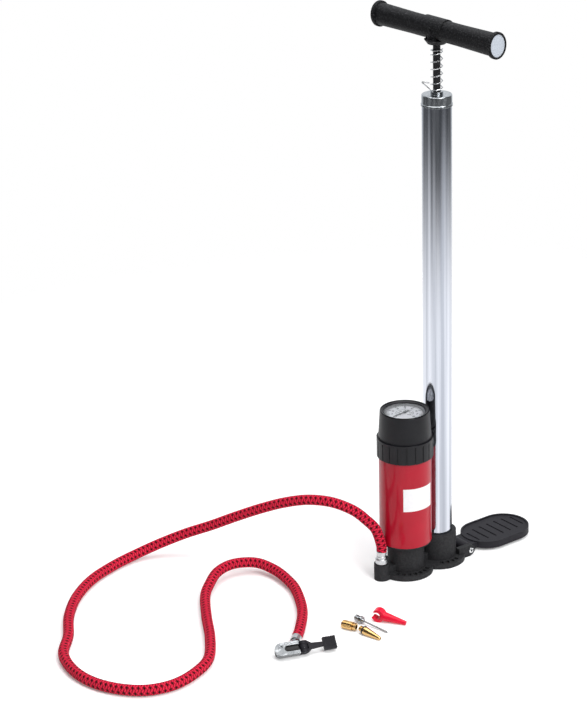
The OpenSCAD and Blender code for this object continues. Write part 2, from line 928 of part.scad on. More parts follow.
module check_valve_cage() {
    cage_r = disc_r + rest_gap + cage_wall;
    color("#c9a24a")
        translate([tank_x + valve_off, 0, spigot_top])
            difference() {
                cylinder(r = cage_r, h = cage_room + cage_wall, $fn = 40);
                translate([0, 0, -past])
                    cylinder(r = disc_r + rest_gap, h = cage_room + past, $fn = 40);
                cylinder(r = disc_r - 2, h = cage_room + 2 * cage_wall, $fn = 40);
                translate([-1.5, -2 * cage_r, -past])
                    cube([3, 4 * cage_r, cage_room - 1 + past]);
            }
}

// Grooves across the tread, shorter towards its round ends
module tread_groove_set() {
    mid = tread_x + pedal_len / 2;
    step = (pedal_len - 19) / (tread_grooves - 1);
    flat = pedal_len / 2 - tread_r;
    groove_share = 0.53;
    for (k = [0 : tread_grooves - 1]) {
        x = (k - (tread_grooves - 1) / 2) * step;
        out = max(0, abs(x) - flat);
        half = groove_share * sqrt(tread_r * tread_r - out * out);
        translate([mid + x, 0, pedal_z + pedal_h - tread_sunk - groove_deep])
            rotate([0, 0, 90])
                linear_extrude(groove_deep + past)
                    oval(half, groove_w / 2);
    }
}

module foot_pedal() {
    mid = tread_x + pedal_len / 2;
    color("#202022")
        difference() {
            union() {
                translate([mid, 0, pedal_z])
                    difference() {
                        linear_extrude(pedal_h)
                            oval(pedal_len / 2, tread_r);
                        translate([0, 0, pedal_h - tread_sunk])
                            linear_extrude(tread_sunk + past)
                                oval(pedal_len / 2 - tread_rim, tread_r - tread_rim);
                        translate([0, 0, -past])
                            linear_extrude(pedal_h - tread_sunk - tread_floor + past)
                                oval(pedal_len / 2 - pedal_wall, tread_r - pedal_wall);
                    }
                for (x = [-0.25, 0, 0.25])
                    translate([mid + x * pedal_len - pedal_wall / 2, -tread_r + pedal_wall, pedal_z])
                        cube([pedal_wall, pedal_w - 2 * pedal_wall, pedal_h - tread_sunk - 1]);
                translate([hinge_x, hinge_w / 2, hinge_z])
                    rotate([90, 0, 0])
                        cylinder(r = eye_r, h = hinge_w);
                translate([hinge_x, -hinge_w / 2, pedal_z])
                    cube([tread_x - hinge_x + 5, hinge_w, pedal_h - tread_sunk]);
            }
            tread_groove_set();
            translate([hinge_x, hinge_w, hinge_z])
                rotate([90, 0, 0])
                    cylinder(r = pin_r + run_gap, h = 2 * hinge_w);
        }
}

// A pin rolled from sheet, open along a slit
module pedal_pin() {
    sheet = 1;
    slit = 0.8;
    color("#c9ccd2")
        translate([hinge_x, pin_half, hinge_z])
            rotate([90, 0, 0])
                difference() {
                    ring(pin_r, pin_r - sheet, 2 * pin_half);
                    translate([0, -slit / 2, -past])
                        cube([pin_d, slit, 2 * (pin_half + past)]);
                }
}

module hose() {
    color("#b81f30")
        tube(hose_route, hose_r, 10, [1, 0, 0]);
}

module hose_nipple() {
    color("#c4c7cb")
        translate([port_x, 0, port_h])
            difference() {
                union() {
                    translate([0, 0, -port_thread_h + 1])
                        cylinder(r = port_thread_r, h = port_thread_h);
                    turned([
                        [0, 0], [nipple_r - 0.8, 0], [nipple_r, 0.8], [nipple_r, nipple_h - 0.8],
                        [nipple_r - 0.8, nipple_h], [0, nipple_h]
                    ]);
                    cylinder(r = barb_r, h = nipple_h + ferrule_len);
                }
                translate([0, 0, -port_thread_h])
                    cylinder(r = 1.8, h = port_thread_h + nipple_h + ferrule_len + past, $fn = 32);
            }
}

module hose_ferrule() {
    r = hose_r - 0.1;
    crimp = 0.5;
    color("#c4c7cb")
        translate([port_x, 0, ferrule_z])
            turned([
                [barb_r + seat_gap, 0], [r, 0], [r, ferrule_len * 0.3], [r - crimp, ferrule_len * 0.36],
                [r - crimp, ferrule_len * 0.48], [r, ferrule_len * 0.54], [r, ferrule_len],
                [barb_r + seat_gap, ferrule_len]
            ]);
}

// Puts its children in the chuck's own frame: its axis along X, the hose at the end of its neck
module at_chuck() {
    translate([hose_end[0], hose_end[1], hose_end[2]])
        rotate(chuck_turn)
            translate([-neck_x - neck_reach * cos(neck_turn), -neck_reach * sin(neck_turn), 0])
                children();
}

// Tilts its children about the chuck's axis, as the chuck lies on its round back
module tilted() {
    rotate([chuck_tilt, 0, 0])
        translate([0, 0, -chuck_r])
            children();
}

// Puts its children on the neck's axis, which starts at the chuck's axis
module at_neck() {
    translate([neck_x, 0, 0])
        rotate(neck_turn)
            rotate([0, 90, 0])
                children();
}

// A bar with a round back and a round nose, open upwards to the height top
module boat(r, x0, x1, z, top) {
    translate([x0 + r, 0, z]) {
        sphere(r = r);
        cylinder(r = r, h = top - z);
        rotate([0, 90, 0])
            cylinder(r = r, h = x1 - x0 - r);
        translate([0, -r, 0])
            cube([x1 - x0 - r, 2 * r, top - z]);
    }
}

// Bore for the rubber, a shallow tray on top of it, and the slot in the tray that opens the bore
module chuck_hollows() {
    bore_x = chuck_nose + nose_wall;
    translate([bore_x, 0, chuck_r])
        rotate([0, 90, 0])
            cylinder(r = channel_r, h = chuck_len);
    translate([0, 0, chuck_r + channel_r + roof_t])
        linear_extrude(chuck_h)
            translate([bore_x + chuck_len / 2, 0])
                oval(chuck_len / 2, channel_r);
    translate([0, 0, chuck_r])
        linear_extrude(chuck_h)
            translate([slot_x + chuck_len / 2, 0])
                oval(chuck_len / 2, slot_r);
}

// Space in which the lever's cheeks turn, from the pin upwards
module cheek_room() {
    r = cheek_r + 2 * rest_gap;
    translate([0, chuck_w, axle_z])
        rotate([90, 0, 0])
            cylinder(r = r, h = 2 * chuck_w);
    translate([-r, -chuck_w, axle_z])
        cube([3 * r, 2 * chuck_w, chuck_h]);
    translate([0, -chuck_w, axle_z - r])
        cube([2 * r, 2 * chuck_w, chuck_h]);
}

// Tongue between the lever's cheeks that carries the pin
module pin_tongue() {
    translate([0, tongue_y, axle_z])
        rotate([90, 0, 0])
            cylinder(r = tongue_r, h = 2 * tongue_y);
    translate([-tongue_r, -tongue_y, channel_floor - 1])
        cube([2 * tongue_r, 2 * tongue_y, axle_z - channel_floor + 1]);
}

module chuck_body() {
    color("#c9ccd2")
        at_chuck()
            difference() {
                union() {
                    difference() {
                        union() {
                            tilted()
                                boat(chuck_r, chuck_nose, chuck_nose + chuck_len, chuck_r, chuck_h);
                            at_neck()
                                cylinder(r = neck_r, h = neck_reach - chuck_ferrule_len - seat_gap);
                            at_neck()
                                cylinder(r = neck_core_r, h = neck_reach);
                        }
                        tilted()
                            chuck_hollows();
                        tilted()
                            cheek_room();
                    }
                    tilted()
                        pin_tongue();
                }
                tilted()
                    translate([chuck_nose - past, 0, chuck_r])
                        rotate([0, 90, 0])
                            cylinder(r = valve_r + 1, h = 2 * nose_wall);
                tilted()
                    translate([0, chuck_w, axle_z])
                        rotate([90, 0, 0])
                            cylinder(r = axle_r + seat_gap, h = 2 * chuck_w, $fn = 32);
                at_neck()
                    translate([0, 0, channel_r])
                        cylinder(r = 1.8, h = neck_reach, $fn = 32);
            }
}

module chuck_ferrule() {
    color("#c9ccd2")
        at_chuck()
            at_neck()
                translate([0, 0, neck_reach - chuck_ferrule_len])
                    ring(hose_r - 0.1, neck_core_r + seat_gap, chuck_ferrule_len);
}

module chuck_seal() {
    edge = 2.4;
    color("#151515")
        at_chuck()
            tilted()
                translate([grommet_x, 0, chuck_r])
                    rotate([0, -90, 0])
                        turned([
                            [0, 0], [grommet_r, 0], [grommet_r, grommet_len - edge],
                            [(grommet_r + valve_r) / 2, grommet_len], [valve_r, grommet_len],
                            [valve_r, grommet_len - valve_depth], [0, grommet_len - valve_depth]
                        ]);
}

// Lever from above: the cheeks' width at the pin, a narrowing arm and a square thumb pad
module lever_outline() {
    knee = cheek_r + 4;
    polygon([
        [0, -cheek_y], [cheek_r, -cheek_y], [knee, -arm_w * 0.7], [lever_len - thumb_w, -arm_w / 2],
        [lever_len - thumb_w, -thumb_w / 2], [lever_len, -thumb_w / 2], [lever_len, thumb_w / 2],
        [lever_len - thumb_w, thumb_w / 2], [lever_len - thumb_w, arm_w / 2], [knee, arm_w * 0.7],
        [cheek_r, cheek_y], [0, cheek_y]
    ]);
}

// Crossed grooves in the thumb pad
module pad_groove_set(top) {
    groove = 0.9;
    deep = 0.6;
    for (k = [1 : pad_grooves]) {
        place = k * thumb_w / (pad_grooves + 1) - groove / 2;
        translate([lever_len - thumb_w + place, -thumb_w, top - deep])
            cube([groove, 2 * thumb_w, deep + past]);
        translate([lever_len - thumb_w - past, place - thumb_w / 2, top - deep])
            cube([thumb_w + 2 * past, groove, deep + past]);
    }
}

module chuck_lever() {
    pad_t = 1;
    color("#1d1d20")
        at_chuck()
            tilted()
                difference() {
                    union() {
                        translate([0, cheek_y, axle_z])
                            rotate([90, 0, 0])
                                cylinder(r = cheek_r, h = 2 * cheek_y);
                        translate([0, 0, axle_z - arm_t / 2])
                            linear_extrude(arm_t)
                                lever_outline();
                        translate([lever_len - thumb_w, -thumb_w / 2, axle_z])
                            cube([thumb_w, thumb_w, arm_t / 2 + pad_t]);
                    }
                    translate([0, tongue_y + rest_gap, axle_z])
                        rotate([90, 0, 0])
                            cylinder(r = 1.2 * cheek_r, h = 2 * (tongue_y + rest_gap));
                    translate([0, chuck_w, axle_z])
                        rotate([90, 0, 0])
                            cylinder(r = axle_r + run_gap, h = 2 * chuck_w, $fn = 32);
                    pad_groove_set(axle_z + arm_t / 2 + pad_t);
                }
}

module chuck_pin() {
    color("#b4b8bd")
        at_chuck()
            tilted()
                translate([0, cheek_y, axle_z])
                    rotate([90, 0, 0])
                        cylinder(r = axle_r, h = 2 * cheek_y, $fn = 32);
}

// Lays a turned piece, drawn along +Z, on the floor: its foot at p, pointing along the angle turn
module laid(p, turn, z, dip) {
    translate([p[0], p[1], z])
        rotate(turn)
            rotate([0, 90 + dip, 0])
                children();
}

module valve_adapter() {
    r = adapter_d / 2;
    stub = 4;
    color("#c79a3b")
        laid([-184.7, -62.6], -67, r + 0.05, 0)
            difference() {
                turned([
                    [0, 0], [r - 0.6, 0], [r, 0.8], [r, adapter_len - stub], [r - 0.9, adapter_len - stub],
                    [r - 0.9, adapter_len], [0, adapter_len]
                ]);
                translate([0, 0, -past])
                    cylinder(r = r - 2, h = adapter_len + 2 * past, $fn = 40);
            }
}

module ball_needle() {
    hub_len = 12;
    flange_r = 4.2;
    flange_z = 9.5;
    screw_r = 3;
    shank_r = 1;
    dip = atan((flange_r - shank_r) / (needle_len - flange_z));
    color("#b9bcc1")
        laid([-165.6, -60.2], -77, flange_r + flange_z * sin(dip) + 0.1, dip)
            turned([
                [0, 0], [screw_r - 0.5, 0], [screw_r, 0.6], [screw_r, 7], [flange_r, 7], [flange_r, flange_z],
                [screw_r - 0.6, flange_z], [screw_r - 1, hub_len], [shank_r, hub_len],
                [shank_r, needle_len - 0.8], [shank_r - 0.5, needle_len], [0, needle_len]
            ]);
}

// Foot, direction and dip of the taper nozzle as it lies on its side
taper_foot = [-177.4, -83.3];
taper_turn = -78.5;
taper_dip = 6.5;
taper_z = taper_d / 2 + 1;
taper_screw_r = 2.9;
taper_neck = 6.5;
taper_seal_r = 0.95;

module taper_nozzle() {
    r = taper_d / 2;
    tip_r = 2.1;
    color("#c79a3b")
        laid(taper_foot, taper_turn, taper_z, taper_dip)
            difference() {
                turned([
                    [0, 0], [taper_screw_r, 0], [taper_screw_r, taper_neck], [r, taper_neck],
                    [r, taper_neck + 2], [tip_r, taper_len - 0.8], [tip_r - 0.6, taper_len], [0, taper_len]
                ]);
                translate([0, 0, -past])
                    cylinder(r = 1, h = taper_len + 2 * past, $fn = 24);
            }
}

module taper_seal() {
    color("#121212")
        laid(taper_foot, taper_turn, taper_z, taper_dip)
            translate([0, 0, taper_neck - taper_seal_r - seat_gap])
                o_ring(taper_screw_r + taper_seal_r + seat_gap, 2 * taper_seal_r);
}

module air_nozzle() {
    root_r = 5.5;
    tip_r = 2.2;
    clip_r = 7;
    clip_bore = 4;
    clip_t = 9;
    clip_mouth = 6.4;
    notch_z = 5.6;
    air_r = 1.2;
    cone_z = notch_z + clip_bore + 1;
    nozzle_dip = atan((clip_r - tip_r) / (nozzle_len - clip_r));
    color("#d4142a")
        laid([-148.6, -69.1], -59, clip_r * (1 + sin(nozzle_dip)) + 0.1, nozzle_dip)
            difference() {
                union() {
                    translate([0, 0, cone_z])
                        cylinder(r1 = root_r, r2 = tip_r, h = nozzle_len - cone_z);
                    translate([0, clip_t / 2, clip_r])
                        rotate([90, 0, 0])
                            cylinder(r = clip_r, h = clip_t);
                }
                translate([0, clip_r, notch_z])
                    rotate([90, 0, 0])
                        cylinder(r = clip_bore, h = 2 * clip_r);
                translate([-clip_mouth / 2, -clip_r, -past])
                    cube([clip_mouth, 2 * clip_r, notch_z + past]);
                translate([0, 0, notch_z])
                    cylinder(r = air_r, h = nozzle_len, $fn = 24);
            }
}

base();
barrel_gasket();
barrel();
barrel_cap();
rod_bush();
piston_rod();
piston_head();
piston_seal();
piston_nut();
buffer_spring();
handle();
handle_plugs();
handle_nut();
tank_tube();
tank_seal_lower();
tank_seal_upper();
tank_head();
tie_tube();
gauge_collar();
gauge_housing();
gauge_movement();
gauge_dial();
gauge_needle();
gauge_lens();
check_valve_disc();
check_valve_cage();
foot_pedal();
pedal_pin();
hose();
hose_nipple();
hose_ferrule();
chuck_body();
chuck_ferrule();
chuck_seal();
chuck_lever();
chuck_pin();
valve_adapter();
ball_needle();
taper_nozzle();
taper_seal();
air_nozzle();
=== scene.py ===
"""Looks of a floor pump with an air tank, a gauge, a pedal and a braided hose, around its CAD frame."""

import json
import math

import bpy
from mathutils import Matrix, Vector


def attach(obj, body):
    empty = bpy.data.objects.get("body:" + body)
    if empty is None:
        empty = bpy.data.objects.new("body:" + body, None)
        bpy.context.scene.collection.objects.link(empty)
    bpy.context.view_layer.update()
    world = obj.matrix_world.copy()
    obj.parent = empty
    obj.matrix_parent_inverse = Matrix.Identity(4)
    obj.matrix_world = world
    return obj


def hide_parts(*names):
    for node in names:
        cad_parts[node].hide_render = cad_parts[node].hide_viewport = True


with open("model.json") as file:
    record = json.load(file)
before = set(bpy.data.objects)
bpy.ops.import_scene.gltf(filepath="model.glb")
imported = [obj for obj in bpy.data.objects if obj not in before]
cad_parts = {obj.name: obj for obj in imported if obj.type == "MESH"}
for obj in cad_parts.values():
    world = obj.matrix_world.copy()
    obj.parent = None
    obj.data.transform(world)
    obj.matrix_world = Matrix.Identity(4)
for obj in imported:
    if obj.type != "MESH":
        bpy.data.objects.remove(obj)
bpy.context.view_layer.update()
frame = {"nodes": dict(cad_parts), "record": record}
nodes = frame["nodes"]

# Sizes and turns shared with the CAD frame, in metres and radians
TANK_X = -0.0465
TANK_R = 0.029
DIAL_Z = 0.1894
DIAL_R = 0.0222
DIAL_UP = math.radians(50)
SWEEP = math.radians(270)
RIM_R = 0.0273
RIM_Z = 0.194
CHUCK_TURN = math.radians(-20)
HOSE_D = 0.0115

# Print on the dial: its height, and the outer edge of the scale
PRINT_Z = DIAL_Z + 0.00005
SCALE_R = DIAL_R - 0.0022

# One millimetre, and the lie of the loose adapters in millimetres and degrees: foot, turn, height and dip
MM = 0.001
ADAPTER_LIE = ((-184.7, -62.6), -67, 4.65, 0)
NEEDLE_LIE = ((-165.6, -60.2), -77, 5.18, 5.3)
TAPER_LIE = ((-177.4, -83.3), -78.5, 5.5, 6.5)

# Compass direction in which the photograph looks
HEADING = math.radians(36.22)

# Middle line of the hose, from the ferrule on the base to the ferrule on the chuck, in millimetres
HOSE_ROUTE = [
    (-81, 0, 34), (-81, 0, 40), (-86, 3, 60), (-94, 10, 72), (-104, 20, 83), (-118, 39, 90),
    (-133, 63, 89), (-148, 88, 81), (-163, 113, 69), (-179, 138, 55), (-196, 163, 40),
    (-216, 185, 28), (-240, 203, 16), (-268, 211, 8), (-300, 207, 6), (-338, 193, 6),
    (-374, 168, 6), (-404, 135, 6), (-427, 99, 6), (-452, 68, 6), (-462, 33, 6),
    (-460, 0, 6), (-447, -29, 6), (-426, -50, 6), (-398, -58, 6), (-368, -52, 6),
    (-340, -36, 6), (-313, 0, 6), (-289, 41, 6), (-265, 78, 7), (-248, 94, 10),
    (-227, 108, 13), (-203, 111, 14), (-181, 99, 13), (-172, 76, 10), (-173, 51, 8),
    (-179, 27, 6), (-201, -13, 6), (-229, -46, 7), (-244, -60, 7),
]


def make_camera():
    """The photograph's view: from the tank side, above, with a slight roll."""
    place = (-1.531, -1.825, 1.1975)
    pitch = math.radians(21.85)
    roll = math.radians(-1.5355)
    focal_px = 2351
    image_height_px = 720
    level = Vector((math.sin(HEADING), math.cos(HEADING), 0))
    forward = level * math.cos(pitch) - Vector((0, 0, math.sin(pitch)))
    right = Vector((math.cos(HEADING), -math.sin(HEADING), 0))
    up = right.cross(forward)
    turned_right = right * math.cos(roll) + up * math.sin(roll)
    turned_up = up * math.cos(roll) - right * math.sin(roll)
    data = bpy.data.cameras.new("photo_camera")
    data.sensor_width = 36
    data.lens = data.sensor_width * focal_px / image_height_px
    data.clip_start = 0.1
    data.clip_end = 50
    camera = bpy.data.objects.new("photo_camera", data)
    turn = Matrix((turned_right, turned_up, -forward)).transposed()
    camera.matrix_world = Matrix.Translation(place) @ turn.to_4x4()
    bpy.context.scene.collection.objects.link(camera)
    bpy.context.scene.camera = camera


def new_mesh(name, points, faces, smooth=True):
    """A mesh object in the shared frame, linked to the scene."""
    mesh = bpy.data.meshes.new(name)
    mesh.from_pydata([tuple(p) for p in points], [], faces)
    mesh.polygons.foreach_set("use_smooth", [smooth] * len(mesh.polygons))
    mesh.update()
    obj = bpy.data.objects.new(name, mesh)
    bpy.context.scene.collection.objects.link(obj)
    return obj


def revolved(outline, place, start=0.0, sweep=2 * math.pi, steps=96):
    """Points and faces of a closed outline of (out, up) points swept round the z axis of a place."""
    whole = math.isclose(sweep, 2 * math.pi)
    rows = steps if whole else steps + 1
    count = len(outline)
    points = []
    for i in range(rows):
        a = start + sweep * i / steps
        points += [place @ Vector((out * math.cos(a), out * math.sin(a), up)) for out, up in outline]
    faces = []
    for i in range(steps):
        j = (i + 1) % rows
        for k in range(count):
            m = (k + 1) % count
            faces.append((i * count + k, j * count + k, j * count + m, i * count + m))
    if not whole:
        faces.append(tuple(range(count)))
        faces.append(tuple(reversed(range(len(points) - count, len(points)))))
    return points, faces


def spline_point(a, b, c, d, t):
    """Point at t between b and c on a smooth line through a, b, c and d."""
    return 0.5 * (2 * b + (c - a) * t + (2 * a - 5 * b + 4 * c - d) * t * t
                  + (3 * b - a - 3 * c + d) * t * t * t)


def smooth_line(points, step):
    """A smooth line through the points, sampled about every step metres."""
    ends = [2 * points[0] - points[1]] + points + [2 * points[-1] - points[-2]]
    line = []
    for a, b, c, d in zip(ends, ends[1:], ends[2:], ends[3:]):
        count = max(2, round((c - b).length / step))
        line += [spline_point(a, b, c, d, k / count) for k in range(count)]
    return line + [points[-1]]


def joint_named(name):
    return next(j for j in frame["record"]["behaviour"]["joints"] if j["name"] == name)


def braided_hose(cap):
    """The hose as a tube with a UV map along and around it for the braid.

    It gathers the chuck's pieces and the tongue's cap into a list that nothing uses.
    """
    sides = 28
    sample = 0.003
    radius = HOSE_D / 2
    route = [Vector(p) / 1000 for p in HOSE_ROUTE]
    line = smooth_line(route, sample)
    side = Vector((1, 0, 0))
    points = []
    along = [0.0]
    for i, p in enumerate(line):
        ahead = (line[min(i + 1, len(line) - 1)] - line[max(i - 1, 0)]).normalized()
        side = (side - ahead * side.dot(ahead)).normalized()
        across = ahead.cross(side)
        if i:
            along.append(along[-1] + (p - line[i - 1]).length)
        for k in range(sides):
            a = 2 * math.pi * k / sides
            points.append(p + radius * (math.cos(a) * side + math.sin(a) * across))
    faces = []
    corners = []
    for i in range(len(line) - 1):
        for k in range(sides):
            m = (k + 1) % sides
            faces.append((i * sides + k, i * sides + m, (i + 1) * sides + m, (i + 1) * sides + k))
            corners += [(along[i], k), (along[i], k + 1), (along[i + 1], k + 1), (along[i + 1], k)]
    hose = new_mesh("braided_hose", points, faces)
    uv = hose.data.uv_layers.new(name="braid")
    for loop, (u, v) in zip(uv.data, corners):
        loop.uv = (u / HOSE_D, v / sides)
    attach(hose, "pump")
    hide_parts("hose")
    chuck = ("chuck_ferrule", "chuck_body", "chuck_seal", "chuck_lever", "chuck_pin")
    on_cord = [nodes[n] for n in chuck]
    on_cord.append(cap)
    return hose


class NodeTree:
    """Short ways to add nodes to the tree of a material or the world."""

    def __init__(self, tree):
        self.tree = tree

    def node(self, kind, **values):
        made = self.tree.nodes.new(kind)
        for key, value in values.items():
            setattr(made, key, value)
        return made

    def link(self, source, target):
        self.tree.links.new(source, target)

    def place(self, kind="Object"):
        return self.node("ShaderNodeTexCoord").outputs[kind]

    def math(self, operation, a, b=None):
        made = self.node("ShaderNodeMath", operation=operation)
        for socket, value in zip(made.inputs, (a, b)):
            if value is None:
                continue
            if isinstance(value, (int, float)):
                socket.default_value = value
            else:
                self.link(value, socket)
        return made.outputs[0]

    def ease(self, value, start, end, low=0.0, high=1.0):
        """Goes smoothly from low to high as the value goes from start to end."""
        made = self.node("ShaderNodeMapRange", interpolation_type="SMOOTHSTEP")
        made.inputs["From Min"].default_value = start
        made.inputs["From Max"].default_value = end
        made.inputs["To Min"].default_value = low
        made.inputs["To Max"].default_value = high
        self.link(value, made.inputs["Value"])
        return made.outputs["Result"]


class Shader(NodeTree):
    """One material with a Principled shader."""

    def __init__(self, name, colour, roughness, metallic=0.0):
        self.material = bpy.data.materials.new(name)
        self.material.use_nodes = True
        super().__init__(self.material.node_tree)
        self.surface = self.tree.nodes["Principled BSDF"]
        self.set("Base Color", (*colour, 1))
        self.set("Roughness", roughness)
        self.set("Metallic", metallic)

    def set(self, socket, value):
        self.surface.inputs[socket].default_value = value

    def noise(self, scale, detail=3.0, stretch=(1, 1, 1)):
        """A noise over the piece, drawn out along an axis where stretch is small."""
        mapping = self.node("ShaderNodeMapping")
        mapping.inputs["Scale"].default_value = stretch
        self.link(self.place(), mapping.inputs["Vector"])
        texture = self.node("ShaderNodeTexNoise")
        texture.inputs["Scale"].default_value = scale
        texture.inputs["Detail"].default_value = detail
        self.link(mapping.outputs["Vector"], texture.inputs["Vector"])
        return texture.outputs["Fac"]

    def ramp(self, factor, stops):
        made = self.node("ShaderNodeValToRGB")
        spots = made.color_ramp.elements
        while len(spots) < len(stops):
            spots.new(0.5)
        for spot, (at, colour) in zip(spots, stops):
            spot.position = at
            spot.color = (*colour, 1)
        self.link(factor, made.inputs["Fac"])
        return made.outputs["Color"]

    def vary_colour(self, factor, dark, light):
        self.link(self.ramp(factor, [(0.3, dark), (0.7, light)]), self.surface.inputs["Base Color"])

    def vary_roughness(self, factor, low, high):
        made = self.node("ShaderNodeMapRange")
        made.inputs["To Min"].default_value = low
        made.inputs["To Max"].default_value = high
        self.link(factor, made.inputs["Value"])
        self.link(made.outputs["Result"], self.surface.inputs["Roughness"])

    def bump(self, height, distance, strength=1.0, soft_edge=0.0):
        """Bumps from a height, and edges rounded off by a radius."""
        made = self.node("ShaderNodeBump")
        made.inputs["Strength"].default_value = strength
        made.inputs["Distance"].default_value = distance
        self.link(height, made.inputs["Height"])
        if soft_edge:
            edge = self.node("ShaderNodeBevel", samples=4)
            edge.inputs["Radius"].default_value = soft_edge
            self.link(edge.outputs["Normal"], made.inputs["Normal"])
        self.link(made.outputs["Normal"], self.surface.inputs["Normal"])

    def fine_grain(self, scale, low, high, deep):
        """Roughness from low to high, and shallow bumps, from one fine noise."""
        grain = self.noise(scale)
        self.vary_roughness(grain, low, high)
        self.bump(grain, deep, 0.3)


def black_plastic():
    s = Shader("black_plastic", (0.005, 0.005, 0.007), 0.4)
    s.set("Specular IOR Level", 0.27)
    grain = s.noise(900, detail=4)
    s.vary_colour(s.noise(60), (0.004, 0.004, 0.006), (0.007, 0.007, 0.0095))
    s.vary_roughness(grain, 0.34, 0.5)
    s.bump(grain, 0.0001, 0.5, soft_edge=0.0006)
    return s.material


def grip_plastic():
    """The handle's moulded skin: dull, with a speckle of finer and coarser grain."""
    s = Shader("grip_plastic", (0.004, 0.004, 0.005), 0.5)
    s.set("Specular IOR Level", 0.22)
    grain = s.noise(650, detail=5)
    s.link(s.ramp(grain, [(0.5, (0.003, 0.003, 0.004)), (0.72, (0.042, 0.042, 0.046))]),
           s.surface.inputs["Base Color"])
    s.vary_roughness(grain, 0.5, 0.68)
    s.bump(grain, 0.0001, 0.5, soft_edge=0.0006)
    return s.material


def base_plastic():
    """The base's plastic, greyer and less shiny than the rest."""
    s = Shader("base_plastic", (0.027, 0.027, 0.029), 0.6)
    s.set("Specular IOR Level", 0.1)
    grain = s.noise(900, detail=4)
    s.vary_colour(s.noise(420, detail=4), (0.021, 0.021, 0.023), (0.034, 0.034, 0.036))
    s.vary_roughness(grain, 0.55, 0.7)
    s.bump(grain, 0.0001, 0.5, soft_edge=0.0006)
    return s.material


def matt_plastic():
    """The plastic of the chuck lever, the tongue's cap and the pedal, duller than the pump's."""
    s = Shader("matt_plastic", (0.01, 0.009, 0.013), 0.6)
    s.set("Specular IOR Level", 0.26)
    grain = s.noise(1100, detail=4)
    s.vary_colour(s.noise(200), (0.008, 0.007, 0.011), (0.012, 0.011, 0.015))
    s.vary_roughness(grain, 0.55, 0.7)
    s.bump(grain, 0.0001, 0.5, soft_edge=0.0003)
    return s.material


def chrome_plate():
    s = Shader("chrome_plate", (0.52, 0.54, 0.6), 0.1, 1)
    drawn = (1, 1, 0.01)
    lines = s.noise(130, detail=5, stretch=drawn)
    tones = s.ramp(lines, [(0.38, (0.36, 0.38, 0.43)), (0.62, (0.64, 0.66, 0.72))])
    s.link(tones, s.surface.inputs["Base Color"])
    s.vary_roughness(s.noise(300, stretch=(1, 1, 0.05)), 0.06, 0.13)
    s.bump(s.noise(130, detail=2, stretch=drawn), 0.00001, 0.3)
    return s.material


def zinc_steel(name="zinc_steel", low=0.1, high=0.18, tone=0.38):
    """Bare or plated metal; tone is how pale it is, low and high how rough."""
    s = Shader(name, (tone, tone, tone), low, 1)
    dark = (tone - 0.02, tone - 0.01, tone)
    light = (tone + 0.01, tone + 0.02, tone + 0.03)
    s.vary_colour(s.noise(150), dark, light)
    s.vary_roughness(s.noise(400), low, high)
    s.bump(s.noise(1500, detail=2), 0.000004, 0.2, soft_edge=0.0004)
    return s.material


def rolled_zinc():
    """The barrel cap's plating, with fine rolling marks up its side."""
    s = Shader("rolled_zinc", (0.42, 0.44, 0.46), 0.2, 1)
    marks = s.noise(420, detail=4, stretch=(1, 1, 0.25))
    s.vary_colour(marks, (0.3, 0.32, 0.34), (0.54, 0.56, 0.58))
    s.vary_roughness(marks, 0.14, 0.26)
    s.bump(marks, 0.00008, 0.5, soft_edge=0.0004)
    return s.material


def cast_chrome():
    """The chuck's plating, bright over a casting that isn't quite flat."""
    s = Shader("cast_chrome", (0.25, 0.26, 0.27), 0.07, 1)
    s.vary_colour(s.noise(150), (0.2, 0.21, 0.22), (0.3, 0.31, 0.32))
    s.vary_roughness(s.noise(400), 0.05, 0.09)
    s.bump(s.noise(130, detail=1), 0.0012, 0.6, soft_edge=0.0005)
    return s.material


def rubber():
    s = Shader("rubber", (0.012, 0.012, 0.012), 0.7)
    grain = s.noise(800)
    s.vary_colour(grain, (0.009, 0.009, 0.009), (0.016, 0.016, 0.016))
    s.vary_roughness(grain, 0.62, 0.78)
    s.bump(grain, 0.00008, 0.4)
    return s.material


def nylon():
    s = Shader("nylon", (0.72, 0.7, 0.62), 0.5)
    s.vary_colour(s.noise(200), (0.68, 0.66, 0.58), (0.76, 0.74, 0.67))
    s.fine_grain(700, 0.42, 0.58, 0.00004)
    return s.material


def black_rod():
    s = Shader("black_rod", (0.014, 0.014, 0.016), 0.28)
    s.set("Coat Weight", 0.3)
    s.vary_colour(s.noise(300, stretch=(1, 1, 0.1)), (0.01, 0.01, 0.012), (0.02, 0.02, 0.022))
    s.fine_grain(600, 0.23, 0.33, 0.00001)
    return s.material


def grey_plastic():
    s = Shader("grey_plastic", (0.49, 0.53, 0.59), 0.38)
    grain = s.noise(700)
    s.vary_colour(s.noise(150), (0.485, 0.525, 0.585), (0.5, 0.54, 0.6))
    s.vary_roughness(grain, 0.34, 0.4)
    s.bump(grain, 0.00002, 0.1)
    return s.material


def grey_ring():
    # Dark grey: partly the wall's own grey, partly painted shade of the dial's recess.
    s = Shader("grey_ring", (0.085, 0.085, 0.09), 0.5)
    s.vary_colour(s.noise(300), (0.08, 0.08, 0.085), (0.09, 0.09, 0.095))
    s.fine_grain(900, 0.45, 0.55, 0.00003)
    return s.material


def gloss_plastic():
    s = Shader("gloss_plastic", (0.003, 0.003, 0.004), 0.16)
    s.set("Specular IOR Level", 0.25)
    s.vary_colour(s.noise(100), (0.0025, 0.0025, 0.0035), (0.0035, 0.0035, 0.0045))
    s.fine_grain(500, 0.12, 0.22, 0.000005)
    return s.material


def red_paint():
    s = Shader("red_paint", (0.39, 0.002, 0.017), 0.35)
    s.set("Specular IOR Level", 0.12)
    s.set("Coat Weight", 0.32)
    s.set("Coat Roughness", 0.04)
    s.vary_colour(s.noise(40), (0.37, 0.002, 0.016), (0.41, 0.002, 0.018))
    s.fine_grain(500, 0.32, 0.38, 0.00003)
    return s.material


